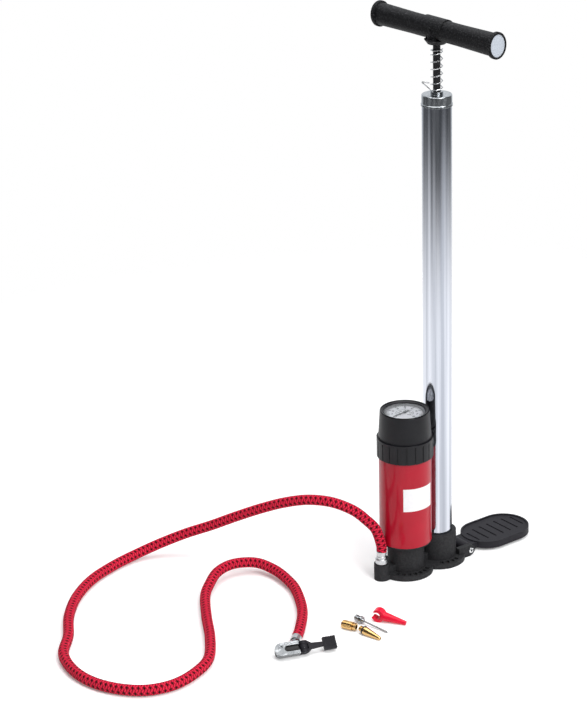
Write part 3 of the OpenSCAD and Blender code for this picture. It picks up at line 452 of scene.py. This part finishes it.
def brass():
    s = Shader("brass", (0.64, 0.41, 0.16), 0.2, 1)
    grain = s.noise(900)
    s.vary_colour(s.noise(200), (0.6, 0.38, 0.14), (0.68, 0.44, 0.19))
    s.vary_roughness(grain, 0.14, 0.26)
    s.bump(grain, 0.00004, 0.4, soft_edge=0.0002)
    return s.material


def dial_white():
    # Mid grey rather than white: painted shade of the dial lying deep in its well.
    s = Shader("dial_white", (0.5, 0.5, 0.52), 0.55)
    s.vary_colour(s.noise(80), (0.48, 0.48, 0.5), (0.52, 0.52, 0.54))
    s.fine_grain(900, 0.5, 0.6, 0.00002)
    return s.material


def pointer_black():
    s = Shader("pointer_black", (0.02, 0.02, 0.022), 0.4)
    s.vary_colour(s.noise(300), (0.016, 0.016, 0.018), (0.026, 0.026, 0.028))
    s.fine_grain(900, 0.35, 0.45, 0.00002)
    return s.material


def clear_lens():
    s = Shader("clear_lens", (0.98, 0.99, 1), 0.03)
    s.set("Transmission Weight", 1)
    s.set("IOR", 1.2)
    s.vary_roughness(s.noise(60), 0.01, 0.04)
    return s.material


def red_plastic():
    s = Shader("red_plastic", (0.72, 0.003, 0.034), 0.35)
    s.set("Specular IOR Level", 0.3)
    s.set("Subsurface Weight", 0.1)
    s.set("Subsurface Radius", (0.004, 0.001, 0.001))
    grain = s.noise(900)
    s.vary_colour(s.noise(150), (0.69, 0.003, 0.03), (0.75, 0.004, 0.038))
    s.vary_roughness(grain, 0.3, 0.42)
    s.bump(grain, 0.00005, 0.3, soft_edge=0.0004)
    return s.material


def print_black():
    s = Shader("print_black", (0.03, 0.03, 0.035), 0.5)
    s.vary_colour(s.noise(900), (0.02, 0.02, 0.025), (0.04, 0.04, 0.045))
    s.fine_grain(1200, 0.45, 0.58, 0.00001)
    return s.material


def label_paper():
    s = Shader("label_paper", (0.8, 0.8, 0.81), 0.45)
    s.vary_colour(s.noise(300), (0.78, 0.78, 0.79), (0.82, 0.82, 0.83))
    s.fine_grain(1200, 0.4, 0.52, 0.00003)
    return s.material


def red_braid():
    """Two sets of slanting strands that pass over and under each other.

    Every second strand of one set is black where it lies on top.
    """
    rows = 6
    step = 0.0056
    black_half_width = 0.32
    black_half_length = 0.44
    s = Shader("red_braid", (0.6, 0.01, 0.035), 0.8)
    s.set("Specular IOR Level", 0.1)
    uv = s.node("ShaderNodeUVMap", uv_map="braid")
    split = s.node("ShaderNodeSeparateXYZ")
    s.link(uv.outputs["UV"], split.inputs["Vector"])
    along = s.math("MULTIPLY", split.outputs["X"], 2 * HOSE_D / step)
    around = s.math("MULTIPLY", split.outputs["Y"], rows)
    one = s.math("SUBTRACT", along, around)
    two = s.math("ADD", along, around)
    over = s.math("FLOORED_MODULO", s.math("ADD", s.math("FLOOR", one), s.math("FLOOR", two)), 2)
    under = s.math("SUBTRACT", 1, over)
    off_one = s.math("ABSOLUTE", s.math("SUBTRACT", s.math("FRACT", one), 0.5))
    off_two = s.math("ABSOLUTE", s.math("SUBTRACT", s.math("FRACT", two), 0.5))
    off_middle = s.math("ADD", s.math("MULTIPLY", off_one, over), s.math("MULTIPLY", off_two, under))
    height = s.math("SUBTRACT", 1, s.math("POWER", s.math("MULTIPLY", off_middle, 2), 2))
    red_strand = s.math("FLOORED_MODULO", s.math("FLOOR", one), 2)
    black = s.math("MULTIPLY", over, s.math("SUBTRACT", 1, red_strand))
    black = s.math("MULTIPLY", black, s.math("LESS_THAN", off_one, black_half_width))
    black = s.math("MULTIPLY", black, s.math("LESS_THAN", off_two, black_half_length))
    # The red darkens from the strand tops down into the gaps: painted shade between the strands.
    painted_gap_shade = s.ramp(height, [(0.12, (0.065, 0.001, 0.004)), (0.8, (0.7, 0.02, 0.056))])
    mix = s.node("ShaderNodeMix", data_type="RGBA")
    s.link(black, mix.inputs["Factor"])
    s.link(painted_gap_shade, mix.inputs["A"])
    mix.inputs["B"].default_value = (0.025, 0.002, 0.004, 1)
    s.link(mix.outputs["Result"], s.surface.inputs["Base Color"])
    s.vary_roughness(height, 0.86, 0.76)
    s.bump(height, 0.0006, 0.9)
    return s.material


MATERIALS = {
    "black_plastic": black_plastic(),
    "rubber": rubber(),
    "chrome_plate": chrome_plate(),
    "zinc_steel": zinc_steel(),
    "spring_steel": zinc_steel("spring_steel", low=0.2, high=0.3, tone=0.6),
    "nylon": nylon(),
    "black_rod": black_rod(),
    "grey_plastic": grey_plastic(),
    "red_paint": red_paint(),
    "brass": brass(),
    "dial_white": dial_white(),
    "pointer_black": pointer_black(),
    "dark_steel": zinc_steel("dark_steel", low=0.4, high=0.5, tone=0.05),
    "clear_lens": clear_lens(),
    "red_braid": red_braid(),
    "aluminium": zinc_steel("aluminium", low=0.26, high=0.38, tone=0.55),
    "zinc_casting": cast_chrome(),
    "needle_steel": zinc_steel("needle_steel", low=0.06, high=0.12, tone=0.34),
    "red_plastic": red_plastic(),
}


# Nodes whose skin differs from the rest of their slot
DULL_SKIN = matt_plastic()
NODE_SKINS = {
    "base": base_plastic(),
    "handle": grip_plastic(),
    "chuck_lever": DULL_SKIN,
    "foot_pedal": DULL_SKIN,
    "barrel_cap": rolled_zinc(),
}
DIAL_INK = print_black()


def paint(obj, material):
    obj.data.materials.clear()
    obj.data.materials.append(material)


def paint_cad():
    for entry in frame["record"]["subparts"]:
        node = entry["node"]
        paint(nodes[node], NODE_SKINS.get(node, MATERIALS[entry["material_slot"]]))


def on_dial(turn, out):
    """Point on the dial, a distance out from the tank's axis at an angle from the x axis."""
    return Vector((TANK_X + out * math.cos(turn), out * math.sin(turn), PRINT_Z))


def dial_ticks():
    """Tick marks over three quarters of a turn round the dial, every fifth one long."""
    ticks = 41
    long_tick = (0.0008, 0.0038)
    short_tick = (0.0004, 0.0024)
    points = []
    faces = []
    for k in range(ticks):
        turn = DIAL_UP + SWEEP * (0.5 - k / (ticks - 1))
        half, length = long_tick if k % 5 == 0 else short_tick
        inner = SCALE_R - length
        side = Vector((-math.sin(turn), math.cos(turn), 0)) * half
        start = len(points)
        for out, sign in ((inner, -1), (SCALE_R, -1), (SCALE_R, 1), (inner, 1)):
            points.append(on_dial(turn, out) + sign * side)
        faces.append((start, start + 1, start + 2, start + 3))
    dial_piece("dial_ticks", points, faces)


def dial_arc(name, inner):
    """A thin arc along the scale."""
    steps = 80
    wide = 0.0005
    points = []
    for k in range(steps + 1):
        turn = DIAL_UP + SWEEP * (0.5 - k / steps)
        points += [on_dial(turn, inner), on_dial(turn, inner + wide)]
    faces = [(2 * k, 2 * k + 1, 2 * k + 3, 2 * k + 2) for k in range(steps)]
    dial_piece(name, points, faces)


def dial_numbers(name, numbers, out, tall):
    """Plain numbers spread along the scale, all upright."""
    bolder = 0.0002
    last = len(numbers) - 1
    for k, number in enumerate(numbers):
        turn = DIAL_UP + SWEEP * (0.5 - k / last)
        text = bpy.data.curves.new("number", "FONT")
        text.body = str(number)
        text.size = tall
        text.offset = bolder
        text.align_x = "CENTER"
        text.align_y = "CENTER"
        drawn = bpy.data.objects.new("number", text)
        flat = bpy.data.meshes.new_from_object(drawn)
        spin = Matrix.Rotation(DIAL_UP - math.pi / 2, 4, "Z")
        flat.transform(Matrix.Translation(on_dial(turn, out)) @ spin)
        points = [v.co.copy() for v in flat.vertices]
        faces = [tuple(f.vertices) for f in flat.polygons]
        bpy.data.objects.remove(drawn)
        bpy.data.meshes.remove(flat)
        bpy.data.curves.remove(text)
        dial_piece("%s_%d" % (name, number), points, faces)


def dial_piece(name, points, faces):
    """One piece of print on the dial."""
    piece = new_mesh(name, points, faces, smooth=False)
    paint(piece, DIAL_INK)
    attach(piece, "pump")


def dial_wall():
    """The grey ring that holds the dial down, between it and the glass; its dark grey is partly painted
    shade of the dial's recess wall.
    """
    foot, lip = DIAL_R - 0.0026, DIAL_R - 0.0008
    low, high = 0.0001, 0.0018
    outline = [(foot, low), (DIAL_R, low), (DIAL_R, high), (lip, high)]
    place = Matrix.Translation((TANK_X, 0, DIAL_Z))
    wall = new_mesh("dial_wall", *revolved(outline, place), smooth=False)
    paint(wall, grey_ring())
    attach(wall, "pump")


def gauge_bead():
    """The rounded bead round the top of the gauge."""
    around = 12
    thick = 0.0011
    sunk = 0.0006
    turns = [2 * math.pi * k / around for k in range(around)]
    outline = [(RIM_R - thick + thick * math.cos(a), thick * math.sin(a)) for a in turns]
    bead = new_mesh("gauge_bead", *revolved(outline, Matrix.Translation((TANK_X, 0, RIM_Z - sunk))))
    paint(bead, gloss_plastic())
    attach(bead, "pump")


def laid(lie):
    """Frame of a turned piece on the floor; its z axis runs along the piece, in millimetres."""
    (x, y), turn, height, dip = lie
    place = Matrix.Translation((x * MM, y * MM, height * MM))
    heading = Matrix.Rotation(math.radians(turn), 4, "Z")
    tipped = Matrix.Rotation(math.radians(90 + dip), 4, "Y")
    return place @ heading @ tipped @ Matrix.Scale(MM, 4)


def screw_thread(name, body, slot, lie, radius, start, length, pitch=0.9):
    """A V thread wound on a turned piece, in millimetres along it."""
    per_turn = 24
    root = radius - 0.1
    crest = radius + 0.4
    half = 0.42 * pitch
    outline = [(root, -half), (crest, 0), (root, half)]
    steps = round(per_turn * length / pitch)
    place = laid(lie)
    points = []
    for i in range(steps + 1):
        a = 2 * math.pi * i / per_turn
        up = start + pitch * i / per_turn
        for out, off in outline:
            points.append(place @ Vector((out * math.cos(a), out * math.sin(a), up + off)))
    faces = [(0, 1, 2), (3 * steps + 2, 3 * steps + 1, 3 * steps)]
    for i in range(steps):
        for k in range(3):
            m = (k + 1) % 3
            faces.append((3 * i + k, 3 * i + 3 + k, 3 * i + 3 + m, 3 * i + m))
    thread = new_mesh(name, points, faces, smooth=False)
    paint(thread, MATERIALS[slot])
    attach(thread, body)


def adapter_ridges():
    """Gripping ridges along the valve adapter."""
    count = 14
    radius = 4.55
    deep = 0.2
    half_turn = 0.12
    low, high = 1.6, 11.6
    place = laid(ADAPTER_LIE)
    points = []
    faces = []
    for k in range(count):
        first = len(points)
        for up in (low, high):
            for off, out in ((-half_turn, radius), (0, radius + deep), (half_turn, radius)):
                a = 2 * math.pi * (k + 0.5) / count + off
                points.append(place @ Vector((out * math.cos(a), out * math.sin(a), up)))
        corners = ((0, 2, 1), (3, 4, 5), (0, 1, 4, 3), (1, 2, 5, 4), (2, 0, 3, 5))
        faces += [tuple(first + c for c in face) for face in corners]
    ridges = new_mesh("adapter_ridges", points, faces, smooth=False)
    paint(ridges, MATERIALS["brass"])
    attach(ridges, "loose_adapter")


def tongue_cap():
    """A black cap over the round tongue that carries the pin, between the lever's cheeks."""
    hinge = joint_named("chuck_lever_hinge")
    axis = Vector(hinge["axis"])
    arm = Vector((math.cos(CHUCK_TURN), math.sin(CHUCK_TURN), 0))
    turn = Matrix((arm, axis.cross(arm), axis)).transposed()
    place = Matrix.Translation(hinge["pos_m"]) @ turn.to_4x4()
    inner = 0.00402
    outer = 0.00455
    half = 0.00245
    outline = [(inner, -half), (outer, -half), (outer, half), (inner, half)]
    cap = new_mesh("tongue_cap", *revolved(outline, place, sweep=math.pi, steps=36), smooth=False)
    paint(cap, DULL_SKIN)
    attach(cap, "pump")
    return cap


def pin_flares():
    """The flared ends of the pedal's rolled pin, open at the slit, outside the lugs."""
    hinge = joint_named("pedal_hinge")
    lug_face = 0.0205
    slit = math.radians(36)
    bore, crown, lip, brim = 0.0014, 0.0024, 0.0031, 0.0033
    low, side_high, high = 0.00002, 0.0011, 0.0014
    outline = [(bore, low), (brim, low), (lip, side_high), (crown, high), (bore, side_high)]
    skin = zinc_steel("rolled_pin", low=0.2, high=0.35, tone=0.8)
    for name, side in (("near", -1), ("far", 1)):
        middle = Vector(hinge["pos_m"]) + Vector((0, side * lug_face, 0))
        out = Vector((0, side, 0))
        across = Vector((1, 0, 0))
        turn = Matrix((across, out.cross(across), out)).transposed()
        place = Matrix.Translation(middle) @ turn.to_4x4()
        ring = revolved(outline, place, start=slit / 2, sweep=2 * math.pi - slit, steps=40)
        flare = new_mesh("pin_flare_" + name, *ring, smooth=False)
        paint(flare, skin)
        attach(flare, "pump")


def blank_label():
    """A blank paper patch on the tank, bent round it."""
    columns = 16
    low, high = 0.0845, 0.1113
    thick = 0.0001
    radius = TANK_R + thick
    middle = math.radians(-95.7)
    half = math.radians(37.7)
    points = []
    for k in range(columns + 1):
        a = middle - half + 2 * half * k / columns
        x = TANK_X + radius * math.cos(a)
        y = radius * math.sin(a)
        points += [(x, y, low), (x, y, high)]
    faces = [(2 * k, 2 * k + 2, 2 * k + 3, 2 * k + 1) for k in range(columns)]
    label = new_mesh("blank_label", points, faces)
    paint(label, label_paper())
    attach(label, "pump")


def area_light(name, place, target, size, watts):
    data = bpy.data.lights.new(name, "AREA")
    data.shape = "RECTANGLE"
    data.size, data.size_y = size
    data.energy = watts
    lamp = bpy.data.objects.new(name, data)
    lamp.location = place
    lamp.rotation_euler = (Vector(target) - Vector(place)).to_track_quat("-Z", "Y").to_euler()
    bpy.context.scene.collection.objects.link(lamp)


def reach_towards(s, turn, middle, half, more):
    """Extra reach of the floor round a middle direction, in degrees from the camera's side."""
    off = s.math("ABSOLUTE", s.math("SUBTRACT", turn, math.radians(middle)))
    return s.ease(off, start=0, end=math.radians(half), low=more, high=0)


def floor_paint():
    """White near the pump, fading out to the surround.

    It reaches further in some directions, which the barrel mirrors as streaks. Each has its middle and
    half width in degrees and its extra reach in metres. The fades start and end at shares of the reach,
    and for the camera at distances in metres.
    """
    reach = 0.9
    streaks = ((-63, 22, 0.38), (-28, 20, 0.18), (50, 40, 0.31))
    both_sides = ((95, 40, 0.2), (180, 80, 0.4))
    s = Shader("floor_paint", (0.88, 0.88, 0.88), 0.9)
    s.set("Specular IOR Level", 0.0)
    s.set("Emission Color", (1, 1, 1, 1))
    s.set("Emission Strength", 0.17)
    s.vary_colour(s.noise(3), (0.88, 0.88, 0.88), (0.89, 0.89, 0.89))
    turned = s.node("ShaderNodeMapping", vector_type="TEXTURE")
    turned.inputs["Rotation"].default_value = (0, 0, -HEADING)
    s.link(s.place(), turned.inputs["Vector"])
    split = s.node("ShaderNodeSeparateXYZ")
    s.link(turned.outputs["Vector"], split.inputs["Vector"])
    turn = s.math("ARCTAN2", split.outputs["X"], s.math("MULTIPLY", split.outputs["Y"], -1))
    for middle, half, more in streaks:
        reach = s.math("ADD", reach_towards(s, turn, middle, half, more), reach)
    for middle, half, more in both_sides:
        reach = s.math("ADD", reach_towards(s, s.math("ABSOLUTE", turn), middle, half, more), reach)
    far = s.node("ShaderNodeVectorMath", operation="LENGTH")
    s.link(turned.outputs["Vector"], far.inputs[0])
    fade = s.ease(s.math("DIVIDE", far.outputs["Value"], reach), start=0.65, end=1.75)
    ray = s.node("ShaderNodeLightPath")
    seen_fade = s.ease(far.outputs["Value"], start=0.6, end=1.1)
    seen_fade = s.math("MULTIPLY", seen_fade, ray.outputs["Is Camera Ray"])
    clear = s.node("ShaderNodeBsdfTransparent")
    mix = s.node("ShaderNodeMixShader")
    s.link(s.math("MAXIMUM", fade, seen_fade), mix.inputs["Fac"])
    s.link(s.surface.outputs["BSDF"], mix.inputs[1])
    s.link(clear.outputs["BSDF"], mix.inputs[2])
    s.link(mix.outputs["Shader"], s.tree.nodes["Material Output"].inputs["Surface"])
    return s.material


def surround():
    """White to the camera and dimmer as light; in metal and glass white only behind the pump."""
    rise = 0.35
    world = bpy.data.worlds.new("surround")
    bpy.context.scene.world = world
    world.use_nodes = True
    w = NodeTree(world.node_tree)
    ahead = w.node("ShaderNodeVectorMath", operation="DOT_PRODUCT")
    ahead.inputs[1].default_value = (math.sin(HEADING), math.cos(HEADING), rise)
    w.link(w.place("Generated"), ahead.inputs[0])
    light = w.ease(ahead.outputs["Value"], start=-0.5, end=0.6, low=0.05, high=0.45)
    mirror = w.ease(ahead.outputs["Value"], start=0.3, end=0.9, low=0.12, high=1)
    ray = w.node("ShaderNodeLightPath")
    mirrored = w.math("MAXIMUM", ray.outputs["Is Glossy Ray"], ray.outputs["Is Transmission Ray"])
    level = w.node("ShaderNodeMix")
    w.link(mirrored, level.inputs["Factor"])
    w.link(light, level.inputs["A"])
    w.link(mirror, level.inputs["B"])
    grey = w.tree.nodes["Background"]
    grey.inputs["Color"].default_value = (0.94, 0.97, 1, 1)
    w.link(level.outputs["Result"], grey.inputs["Strength"])
    white = w.node("ShaderNodeBackground")
    white.inputs["Color"].default_value = (1, 1, 1, 1)
    white.inputs["Strength"].default_value = 1
    mix = w.node("ShaderNodeMixShader")
    w.link(ray.outputs["Is Camera Ray"], mix.inputs["Fac"])
    w.link(grey.outputs["Background"], mix.inputs[1])
    w.link(white.outputs["Background"], mix.inputs[2])
    w.link(mix.outputs["Shader"], w.tree.nodes["World Output"].inputs["Surface"])


def studio():
    """White floor, soft lamps and a white surround."""
    half = 2.5
    corners = [(-half, -half, 0), (half, -half, 0), (half, half, 0), (-half, half, 0)]
    floor = new_mesh("floor", corners, [(0, 1, 2, 3)])
    paint(floor, floor_paint())
    surround()
    area_light("top", place=(0, 0, 2.6), target=(0, 0, 0), size=(2.4, 2.4), watts=60)
    area_light("key", place=(-0.2, -2.2, 1.9), target=(0, 0, 0.2), size=(1.2, 1.2), watts=55)
    area_light("front_card", place=(0.03, -1.55, 2.6), target=(0.03, -1.55, 0), size=(1, 0.68), watts=4.2)
    bpy.context.scene.view_settings.view_transform = "Standard"


make_camera()
hose = braided_hose(tongue_cap())
paint_cad()
paint(hose, MATERIALS["red_braid"])
dial_ticks()
dial_arc("dial_outer_arc", inner=SCALE_R)
dial_arc("dial_inner_arc", inner=0.0094)
dial_numbers("dial_outer", range(9), out=DIAL_R - 0.0083, tall=0.0054)
dial_numbers("dial_inner", range(0, 121, 20), out=0.0066, tall=0.003)
dial_wall()
gauge_bead()
screw_thread("adapter_thread", "loose_adapter", "brass", ADAPTER_LIE, radius=3.7, start=12.8, length=3.3)
screw_thread("needle_thread", "loose_needle", "needle_steel", NEEDLE_LIE, radius=3, start=0.5, length=6)
screw_thread("taper_thread", "loose_taper", "brass", TAPER_LIE, radius=2.9, start=0.5, length=3.6)
adapter_ridges()
pin_flares()
blank_label()
studio()
